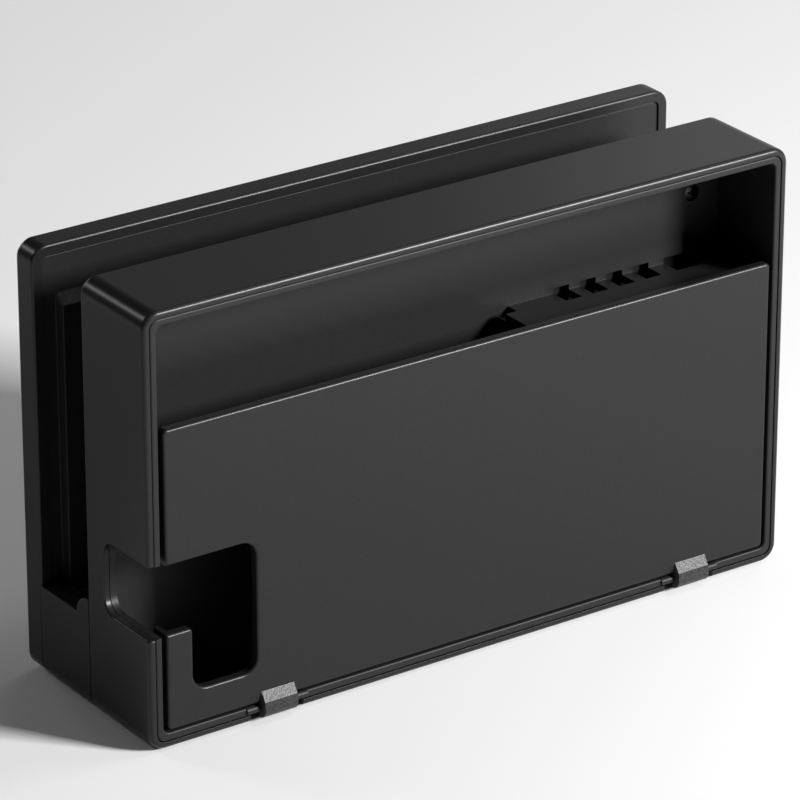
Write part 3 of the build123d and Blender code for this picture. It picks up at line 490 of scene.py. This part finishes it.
def sheet_mesh(name, patches):
    """Object made of patches, an array of k by n by m points: each patch is closed round its m points,
    and a row of n that shrinks to one point closes an end."""
    weld = 0.0005 * MM
    k, n, m, _ = patches.shape
    index = np.arange(k * n * m).reshape(k, n, m)
    beside = np.roll(index, -1, axis=2)
    corners = (index[:, :-1], index[:, 1:], beside[:, 1:], beside[:, :-1])
    quads = np.stack(corners, axis=-1).reshape(-1, 4)
    mesh = bpy.data.meshes.new(name)
    mesh.from_pydata(patches.reshape(-1, 3), [], quads)
    made = bmesh.new()
    made.from_mesh(mesh)
    bmesh.ops.remove_doubles(made, verts=made.verts, dist=weld)
    bmesh.ops.recalc_face_normals(made, faces=made.faces)
    made.to_mesh(mesh)
    made.free()
    piece = bpy.data.objects.new(name, mesh)
    bpy.context.scene.collection.objects.link(piece)
    return piece


def step(edge, value, soft):
    """0 well below the edge, 1 well above it, and a smooth S over the soft width between."""
    t = np.clip((value - edge) / soft + 0.5, 0.0, 1.0)
    return t * t * (3.0 - 2.0 * t)


def drive_recess(radius, angle, look):
    """Depth of a three-wing recess: each angle is folded to its nearest wing, a point is inside where it lies
    within the wing's length and half width or within the round middle, and the walls slope over a soft
    width."""
    soft = 0.12 * MM
    hub_radius = 1.6 * look.wing_half
    third = 2.0 * math.pi / 3.0
    folded = np.mod(angle + third / 2.0, third) - third / 2.0
    along = radius * np.cos(folded)
    aside = np.abs(radius * np.sin(folded))
    wing = (1.0 - step(look.wing_length, along, soft)) * (1.0 - step(look.wing_half, aside, soft))
    hub = 1.0 - step(hub_radius, radius, soft)
    return look.recess_depth * np.maximum(wing, hub)


def screw_surface(head_radius, shank_radius, length, look):
    """Screw along +z with its seat at 0, as rows of rings. The head is a crown that falls with the square of
    the radius, less the drive recess. The shank's radius rises and falls with the height plus the turn, which
    makes a helical thread, and its last turn runs down to a point."""
    head_rings, rings_per_turn = 26, 6
    rim_height = 0.35 * look.head_height
    turn = np.linspace(0.0, 2.0 * math.pi, look.sides, endpoint=False)[None, :]
    spread = np.linspace(0.0, 1.0, head_rings)[:, None]
    head_r = head_radius * spread + 0.0 * turn
    head_z = look.head_height - look.crown * spread**2 - drive_recess(head_r, turn, look)
    rim_r = np.array([[head_radius], [head_radius], [shank_radius]]) + 0.0 * turn
    rim_z = np.array([[rim_height], [0.0], [0.0]]) + 0.0 * turn
    down = np.linspace(0.0, 1.0, int(rings_per_turn * length / look.pitch))[:, None]
    height = -length * down
    wave = np.abs(np.mod(height / look.pitch - turn / (2.0 * math.pi), 1.0) - 0.5) * 2.0
    point = 1.0 - step(1.0 - 0.5 * look.pitch / length, down, look.pitch / length)
    shank_r = (shank_radius - look.thread_depth * wave) * point
    shank_z = height + 0.0 * turn
    tip_r = np.zeros((1, look.sides))
    tip_z = tip_r - length
    r = np.concatenate((head_r, rim_r, shank_r, tip_r))
    z = np.concatenate((head_z, rim_z, shank_z, tip_z))
    return np.stack((r * np.cos(turn), r * np.sin(turn), z), axis=-1)


class Screw(NamedTuple):
    """Which way a group's heads face, what plates them, and their material slot."""

    facing: str
    plating: str
    slot: str


SCREWS = {
    "back_plate_screws": Screw("y", "black", "screw_black"),
    "liner_screws": Screw("y", "black", "screw_black"),
    "cover_screws": Screw("y", "black", "screw_black"),
    "board_screws": Screw("y", "zinc", "screw_zinc"),
    "bracket_screws": Screw("z", "zinc", "screw_zinc"),
    "bottom_screws": Screw("z", "black", "screw_black"),
}
SCREW_ROUGHNESS = 0.38
SCREW_CREASE = math.radians(40)
# Rows turn the dock's axes to a screw's own, with its head towards +z: heads face +Y, or face down
SCREW_FRAMES = {
    "y": np.array([[1.0, 0.0, 0.0], [0.0, 0.0, -1.0], [0.0, 1.0, 0.0]]),
    "z": np.array([[1.0, 0.0, 0.0], [0.0, -1.0, 0.0], [0.0, 0.0, -1.0]]),
}


def screw_set(node, look):
    """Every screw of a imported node, drawn again round its own axis from the box of its points."""
    apart, tip_band = 3 * MM, 0.1 * MM
    axes = SCREW_FRAMES[SCREWS[node].facing]
    local = points_of(node) @ axes.T
    groups = [part for column in parted(local, 0, apart) for part in parted(column, 1, apart)]
    patches = []
    for part in groups:
        low, high = part.min(axis=0), part.max(axis=0)
        seat = np.array([*(low + high)[:2] / 2.0, high[2] - look.head_height])
        tip = part[part[:, 2] < low[2] + tip_band]
        shank = np.ptp(tip[:, 0]) / 2.0
        shape = screw_surface((high[0] - low[0]) / 2.0, shank, seat[2] - low[2], look)
        patches.append((shape + seat) @ axes)
    return np.stack(patches)


def contact_strips(starts, way, length, across, rise, half_width, thick):
    """Thin gold strips from each start along way: an oval section across each strip, thick to either side in
    the direction rise, carried along the strip and drawn in to a point at both ends by a root of 1 less the
    sixth power of the distance from the middle."""
    stations, sides, bluntness = 9, 12, 6
    station = np.linspace(0.0, 1.0, stations)[:, None]
    swell = np.sqrt(np.clip(1.0 - (2.0 * station - 1.0) ** bluntness, 0.0, 1.0))
    angle = np.linspace(0.0, 2.0 * math.pi, sides, endpoint=False)[None, :]
    side = half_width * swell * np.cos(angle)
    up = thick * swell * np.sin(angle)
    along = length * station + 0.0 * angle
    parts = ((along, way), (side, across), (up, rise))
    strip = sum(amount[..., None] * np.array(axis) for amount, axis in parts)
    return np.asarray(starts)[:, None, None, :] + strip[None]


def contact_row(count, pitch):
    """Places of a row of contacts, evenly pitched about 0."""
    return (np.arange(count) - (count - 1) / 2.0) * pitch


class Socket(NamedTuple):
    """A socket's mouth, towards +X for 1 and -X for -1, its tongue's thickness and length in millimetres, and
    the count, pitch in millimetres and sides of the tongue's contacts."""

    way: int
    thick: float
    length: float
    count: int
    pitch: float
    faces: tuple


SOCKETS = {
    "power_port": Socket(1, 0.7, 4.5, 12, 0.5, (-1, 1)),
    "rear_usb_port": Socket(1, 1.9, 8.5, 4, 2.4, (1,)),
    "video_port": Socket(1, 1.6, 8.0, 10, 1.0, (-1, 1)),
    "side_usb_port_lower": Socket(-1, 1.9, 8.5, 4, 2.4, (1,)),
    "side_usb_port_upper": Socket(-1, 1.9, 8.5, 4, 2.4, (1,)),
}
SOCKET_SHEET = 0.35 * MM
SOCKET_BACK = 2.0 * MM
SOCKET_ROUGHNESS = 0.28
CONTACT_SHARE = 0.28
CONTACT_ROUGHNESS = 0.25


def socket_contacts(node):
    """Rows of contacts on the faces of a socket's tongue, evenly pitched across its width."""
    inset, stand = 0.3, 0.08 * MM
    socket = SOCKETS[node]
    low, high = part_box(node)
    root = low.x + SOCKET_BACK if socket.way > 0 else high.x - SOCKET_BACK
    middle = (low + high) / 2
    run = (socket.length - 2.0 * inset) * MM
    half = CONTACT_SHARE * socket.pitch * MM
    sets = []
    for face in socket.faces:
        starts = np.zeros((socket.count, 3))
        starts[:, 0] = root + socket.way * inset * MM
        starts[:, 1] = middle.y + face * socket.thick * MM / 2.0
        starts[:, 2] = middle.z + contact_row(socket.count, socket.pitch) * MM
        sets.append(contact_strips(starts, (socket.way, 0, 0), run, (0, 0, 1), (0, face, 0), half, stand))
    return np.concatenate(sets)


PLUG_SHEET = 0.35 * MM
PLUG_REACH = 6.7 * MM
PLUG_PITCH = 0.5 * MM
PLUG_COUNT = 12
PLUG_ROUGHNESS = 0.24


def plug_contacts():
    """Two facing rows of spring contacts down the inside of the console plug."""
    foot, lip, stand = 0.2 * MM, 0.7 * MM, 0.12 * MM
    low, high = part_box("console_plug")
    middle = (low + high) / 2
    wall = (high.y - low.y) / 2 - PLUG_SHEET
    run = PLUG_REACH - foot - lip
    half = CONTACT_SHARE * PLUG_PITCH
    sets = []
    for face in (-1, 1):
        starts = np.zeros((PLUG_COUNT, 3))
        starts[:, 0] = middle.x + contact_row(PLUG_COUNT, PLUG_PITCH)
        starts[:, 1] = middle.y + face * wall
        starts[:, 2] = high.z - PLUG_REACH + foot
        sets.append(contact_strips(starts, (0, 0, 1), run, (1, 0, 0), (0, -face, 0), half, stand))
    return np.concatenate(sets)


def hinge_tab_boxes():
    """Boxes round the door's two hinge tabs, found where the door reaches lowest. Inside them the tabs get
    rough pits with a painted highlight.
    """
    foot_band, apart = 2 * MM, 20 * MM
    tab_height, past, edge = 6.4 * MM, 1 * MM, 0.05 * MM
    points = points_of("rear_door")
    low_z = points[:, 2].min()
    tabs = parted(points[points[:, 2] < low_z + foot_band], 0, apart)
    reach = CAD_BOX[1].y + past
    boxes = []
    for tab in tabs:
        x0, x1 = tab[:, 0].min() - edge, tab[:, 0].max() + edge
        boxes.append(((x0, tab[:, 1].min() - edge, 0.0), (x1, reach, low_z + tab_height)))
    return boxes


def guide_pad_tops(node, way):
    """Box that holds the sloped tops of the guide pads on one wall of the slot, which stand out from it along
    Y, towards +Y for a way of 1 and towards -Y for -1. Inside it the pad tops get rough pits with a painted
    highlight."""
    slope_depth, slope_height = 2.55 * MM, 2.5 * MM
    past, below, flat = 1 * MM, 0.1 * MM, 0.01 * MM
    low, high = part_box(node)
    points = points_of(node)
    upper = points[points[:, 2] > CAD_BOX[1].z / 2]
    reach = way * upper[:, 1]
    face = reach.max()
    top = upper[reach > face - flat][:, 2].max()
    near, far = sorted((way * (face - slope_depth), way * (face + past)))
    return [((low.x, near, top - below), (high.x, far, top + slope_height))]


class DOCK_OT_mouldings(bpy.types.Operator):
    """Finish every black moulding of the dock"""

    bl_idname = "dock.mouldings"
    bl_label = "Mouldings"

    def execute(self, context):
        liner_tops = guide_pad_tops("slot_liner", 1)
        # Inside the boxes on the pad tops and hinge tabs, and over a small share of the slot liner, the pits
        # carry painted shade and a painted highlight
        finishes = {
            "bottom_cover": {},
            "plug_carrier": {},
            "back_plate": {"matte": 0.16},
            "front_cover": {"soft": 2.0},
            "rear_shell": {"rough_highlit_boxes": guide_pad_tops("rear_shell", -1)},
            "rear_door": {"rough_highlit_boxes": hinge_tab_boxes()},
            "slot_liner": {"rough_highlit_boxes": liner_tops, "sparked": 0.03, "soft": 3.0, "matte": 0.08},
        }
        for node, finish in finishes.items():
            dress(node, moulded(node, **finish))
        return {"FINISHED"}


class Plating(NamedTuple):
    """Which metal plates a piece, how rough it is, and how its streaks are stretched."""

    metal: str
    roughness: float
    streaks: tuple = ROLLED


STEELWORK = {
    "shield_plate": Plating("nickel", 0.34),
    "plug_bracket": Plating("zinc", 0.36),
    "plug_pin": Plating("nickel", 0.2, TURNED),
    "carrier_springs": Plating("zinc", 0.3),
}


class DOCK_OT_metalwork(bpy.types.Operator):
    """Finish the sockets, the plug and the steel pieces"""

    bl_idname = "dock.metalwork"
    bl_label = "Metalwork"

    def execute(self, context):
        look = context.scene.dock_metal
        skin = 0.02 * MM
        shells = {node: (SOCKET_ROUGHNESS, (0.0, 1.0, 1.0), SOCKET_SHEET) for node in SOCKETS}
        shells["console_plug"] = (PLUG_ROUGHNESS, (1.0, 1.0, 0.0), PLUG_SHEET)
        for node, (roughness, walls, sheet) in shells.items():
            low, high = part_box(node)
            inset = Vector(walls) * (sheet + skin)
            dress(node, shelled(node, look.nickel, roughness, (low + inset, high - inset)))
        for node, plated in STEELWORK.items():
            dress(node, metal(node, getattr(look, plated.metal), plated.roughness, plated.streaks))
        return {"FINISHED"}


class DOCK_OT_boards(bpy.types.Operator):
    """Finish the boards, chips and ribbons"""

    bl_idname = "dock.boards"
    bl_label = "Boards"

    def execute(self, context):
        for node in ("main_board", "side_usb_board", "led_board"):
            dress(node, laminate(node))
        dress("board_chips", packaged("board_chips"))
        for node, axis in (("plug_flex", "Z"), ("side_board_ribbon", "Z"), ("led_ribbon", "X")):
            dress(node, film(node, axis))
        return {"FINISHED"}


class DOCK_OT_feet(bpy.types.Operator):
    """Finish the rubber feet and the clear light guide"""

    bl_idname = "dock.feet"
    bl_label = "Feet and light guide"

    def execute(self, context):
        dress("rubber_feet", rubbered("rubber_feet"))
        dress("light_guide", clear("light_guide"))
        return {"FINISHED"}


class DOCK_OT_screws(bpy.types.Operator):
    """Draw every screw with a crowned head, a three-wing recess and a thread"""

    bl_idname = "dock.screws"
    bl_label = "Screws"

    def execute(self, context):
        look = context.scene.dock_screw
        metals = context.scene.dock_metal
        for node, screw in SCREWS.items():
            piece = sheet_mesh(f"{node}_threaded", screw_set(node, look))
            colour = getattr(metals, screw.plating)
            piece.data.materials.append(metal(piece.name, colour, SCREW_ROUGHNESS, TUMBLED))
            piece.data.set_sharp_from_angle(angle=SCREW_CREASE)
            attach(piece, "housing")
            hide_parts(node)
        return {"FINISHED"}


class DOCK_OT_contacts(bpy.types.Operator):
    """Lay the gold contacts in the sockets and the console plug"""

    bl_idname = "dock.contacts"
    bl_label = "Contacts"

    def execute(self, context):
        gold = context.scene.dock_metal.gold
        rows = {f"{node}_contacts": (socket_contacts(node), "housing", "socket_steel") for node in SOCKETS}
        rows["console_plug_contacts"] = (plug_contacts(), "plug", "plug_steel")
        for name, (strips, body, slot) in rows.items():
            piece = sheet_mesh(name, strips)
            piece.data.materials.append(metal(name, gold, CONTACT_ROUGHNESS))
            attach(piece, body)
        return {"FINISHED"}


def lay_floor(look):
    """Flat pale floor under the dock."""
    mottle_size, mottle_dark, dullness = 4 * MM, 0.99, 0.9
    half = look.floor_size / 2
    corners = [(-half, -half, 0), (half, -half, 0), (half, half, 0), (-half, half, 0)]
    mesh = bpy.data.meshes.new("floor")
    mesh.from_pydata(corners, [], [(0, 1, 2, 3)])
    floor = bpy.data.objects.new("floor", mesh)
    bpy.context.scene.collection.objects.link(floor)
    paper = Finish("floor_paper")
    mottle = paper.noise(mottle_size)
    tone = paper.mix(mottle, shade(look.floor_tone, mottle_dark), shade(look.floor_tone, 1.0))
    values = {"Base Color": tone, "Roughness": dullness, "Specular IOR Level": 0.0}
    mesh.materials.append(paper.finished(values))


def light_sky(look):
    """Even white light from all sides."""
    sky = bpy.data.worlds.new("sky")
    sky.use_nodes = True
    background = sky.node_tree.nodes["Background"].inputs
    background["Color"].default_value = (1.0, 1.0, 1.0, 1.0)
    background["Strength"].default_value = look.sky
    bpy.context.scene.world = sky


def aim(thing, place, target):
    """Stands a lamp or camera at a place and turns it to a target."""
    thing.location = place
    thing.rotation_mode = "QUATERNION"
    thing.rotation_quaternion = (Vector(target) - Vector(place)).to_track_quat("-Z", "Y")


class Lamp(NamedTuple):
    """A soft lamp: its name, its direction from the dock, its sides in metres and its power in watts."""

    name: str
    way: tuple
    wide: float
    high: float
    power: float


LAMP_REACH = 1.3
LAMPS = (
    Lamp("key_lamp", (-0.52, 0.765, 0.385), 0.27, 0.27, 32.0),
    Lamp("rim_lamp", (0.46, -0.76, 0.46), 0.22, 0.22, 1.5),
    Lamp("side_lamp", (-0.78, -0.56, 0.36), 0.7, 0.7, 0.85),
    Lamp("back_lamp", (-0.52, -0.755, 0.40), 0.5, 0.5, 0.15),
    Lamp("far_lamp", (-0.88, -0.43, 0.20), 0.7, 0.7, 2.0),
    Lamp("front_lamp", (0.0, -1.0, 0.08), 0.5, 0.26, 3.5),
    Lamp("top_lamp", (-0.52, 0.15, 0.84), 0.3, 0.3, 1.5),
)


def hang_lamps():
    """Soft rectangular lamps round the dock, all at one distance and aimed at its middle."""
    middle = (CAD_BOX[0] + CAD_BOX[1]) / 2
    for lamp in LAMPS:
        light = bpy.data.lights.new(lamp.name, "AREA")
        light.shape = "RECTANGLE"
        light.size = lamp.wide
        light.size_y = lamp.high
        light.energy = lamp.power
        held = bpy.data.objects.new(lamp.name, light)
        bpy.context.scene.collection.objects.link(held)
        aim(held, middle + Vector(lamp.way).normalized() * LAMP_REACH, middle)
        held.visible_camera = False


def set_camera(look):
    """Camera at the photograph's viewing angle."""
    sensor_mm, nearest, furthest = 36.0, 0.05, 50.0
    a, e = look.azimuth, look.elevation
    back = Vector((math.sin(a) * math.cos(e), -math.cos(a) * math.cos(e), math.sin(e)))
    lens = bpy.data.cameras.new("camera")
    lens.lens = look.lens
    lens.sensor_width = sensor_mm
    lens.clip_start = nearest
    lens.clip_end = furthest
    camera = bpy.data.objects.new("camera", lens)
    bpy.context.scene.collection.objects.link(camera)
    target = Vector(look.target)
    aim(camera, target + back * look.distance, target)
    bpy.context.scene.camera = camera


class DOCK_OT_stage(bpy.types.Operator):
    """Set up the floor, the sky, the lamps and the camera"""

    bl_idname = "dock.stage"
    bl_label = "Studio"

    def execute(self, context):
        look = context.scene.dock_stage
        lay_floor(look)
        light_sky(look)
        hang_lamps()
        set_camera(look)
        context.scene.view_settings.view_transform = "Standard"
        return {"FINISHED"}


class DOCK_PT_panel(bpy.types.Panel):
    """Sidebar list of the dock's steps"""

    bl_idname = "DOCK_PT_panel"
    bl_label = "Console dock"
    bl_space_type = "VIEW_3D"
    bl_region_type = "UI"
    bl_category = "Dock"

    def draw(self, context):
        for operator in STEPS:
            self.layout.operator(operator.bl_idname)


GROUPS = {
    "dock_plastic": DOCK_PG_plastic,
    "dock_metal": DOCK_PG_metal,
    "dock_board": DOCK_PG_board,
    "dock_screw": DOCK_PG_screw,
    "dock_stage": DOCK_PG_stage,
}
STEPS = (
    DOCK_OT_mouldings,
    DOCK_OT_metalwork,
    DOCK_OT_boards,
    DOCK_OT_feet,
    DOCK_OT_screws,
    DOCK_OT_contacts,
    DOCK_OT_stage,
)


def register():
    """Adds the settings, the steps and the panel."""
    for kind in (*GROUPS.values(), *STEPS, DOCK_PT_panel):
        bpy.utils.register_class(kind)
    for name, kind in GROUPS.items():
        setattr(bpy.types.Scene, name, PointerProperty(type=kind))


def unregister():
    """Takes them away again."""
    for name in GROUPS:
        delattr(bpy.types.Scene, name)
    for kind in reversed((*GROUPS.values(), *STEPS, DOCK_PT_panel)):
        bpy.utils.unregister_class(kind)


def main():
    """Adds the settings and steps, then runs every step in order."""
    register()
    for operator in STEPS:
        group, name = operator.bl_idname.split(".")
        getattr(getattr(bpy.ops, group), name)()


if __name__ == "__main__":
    main()
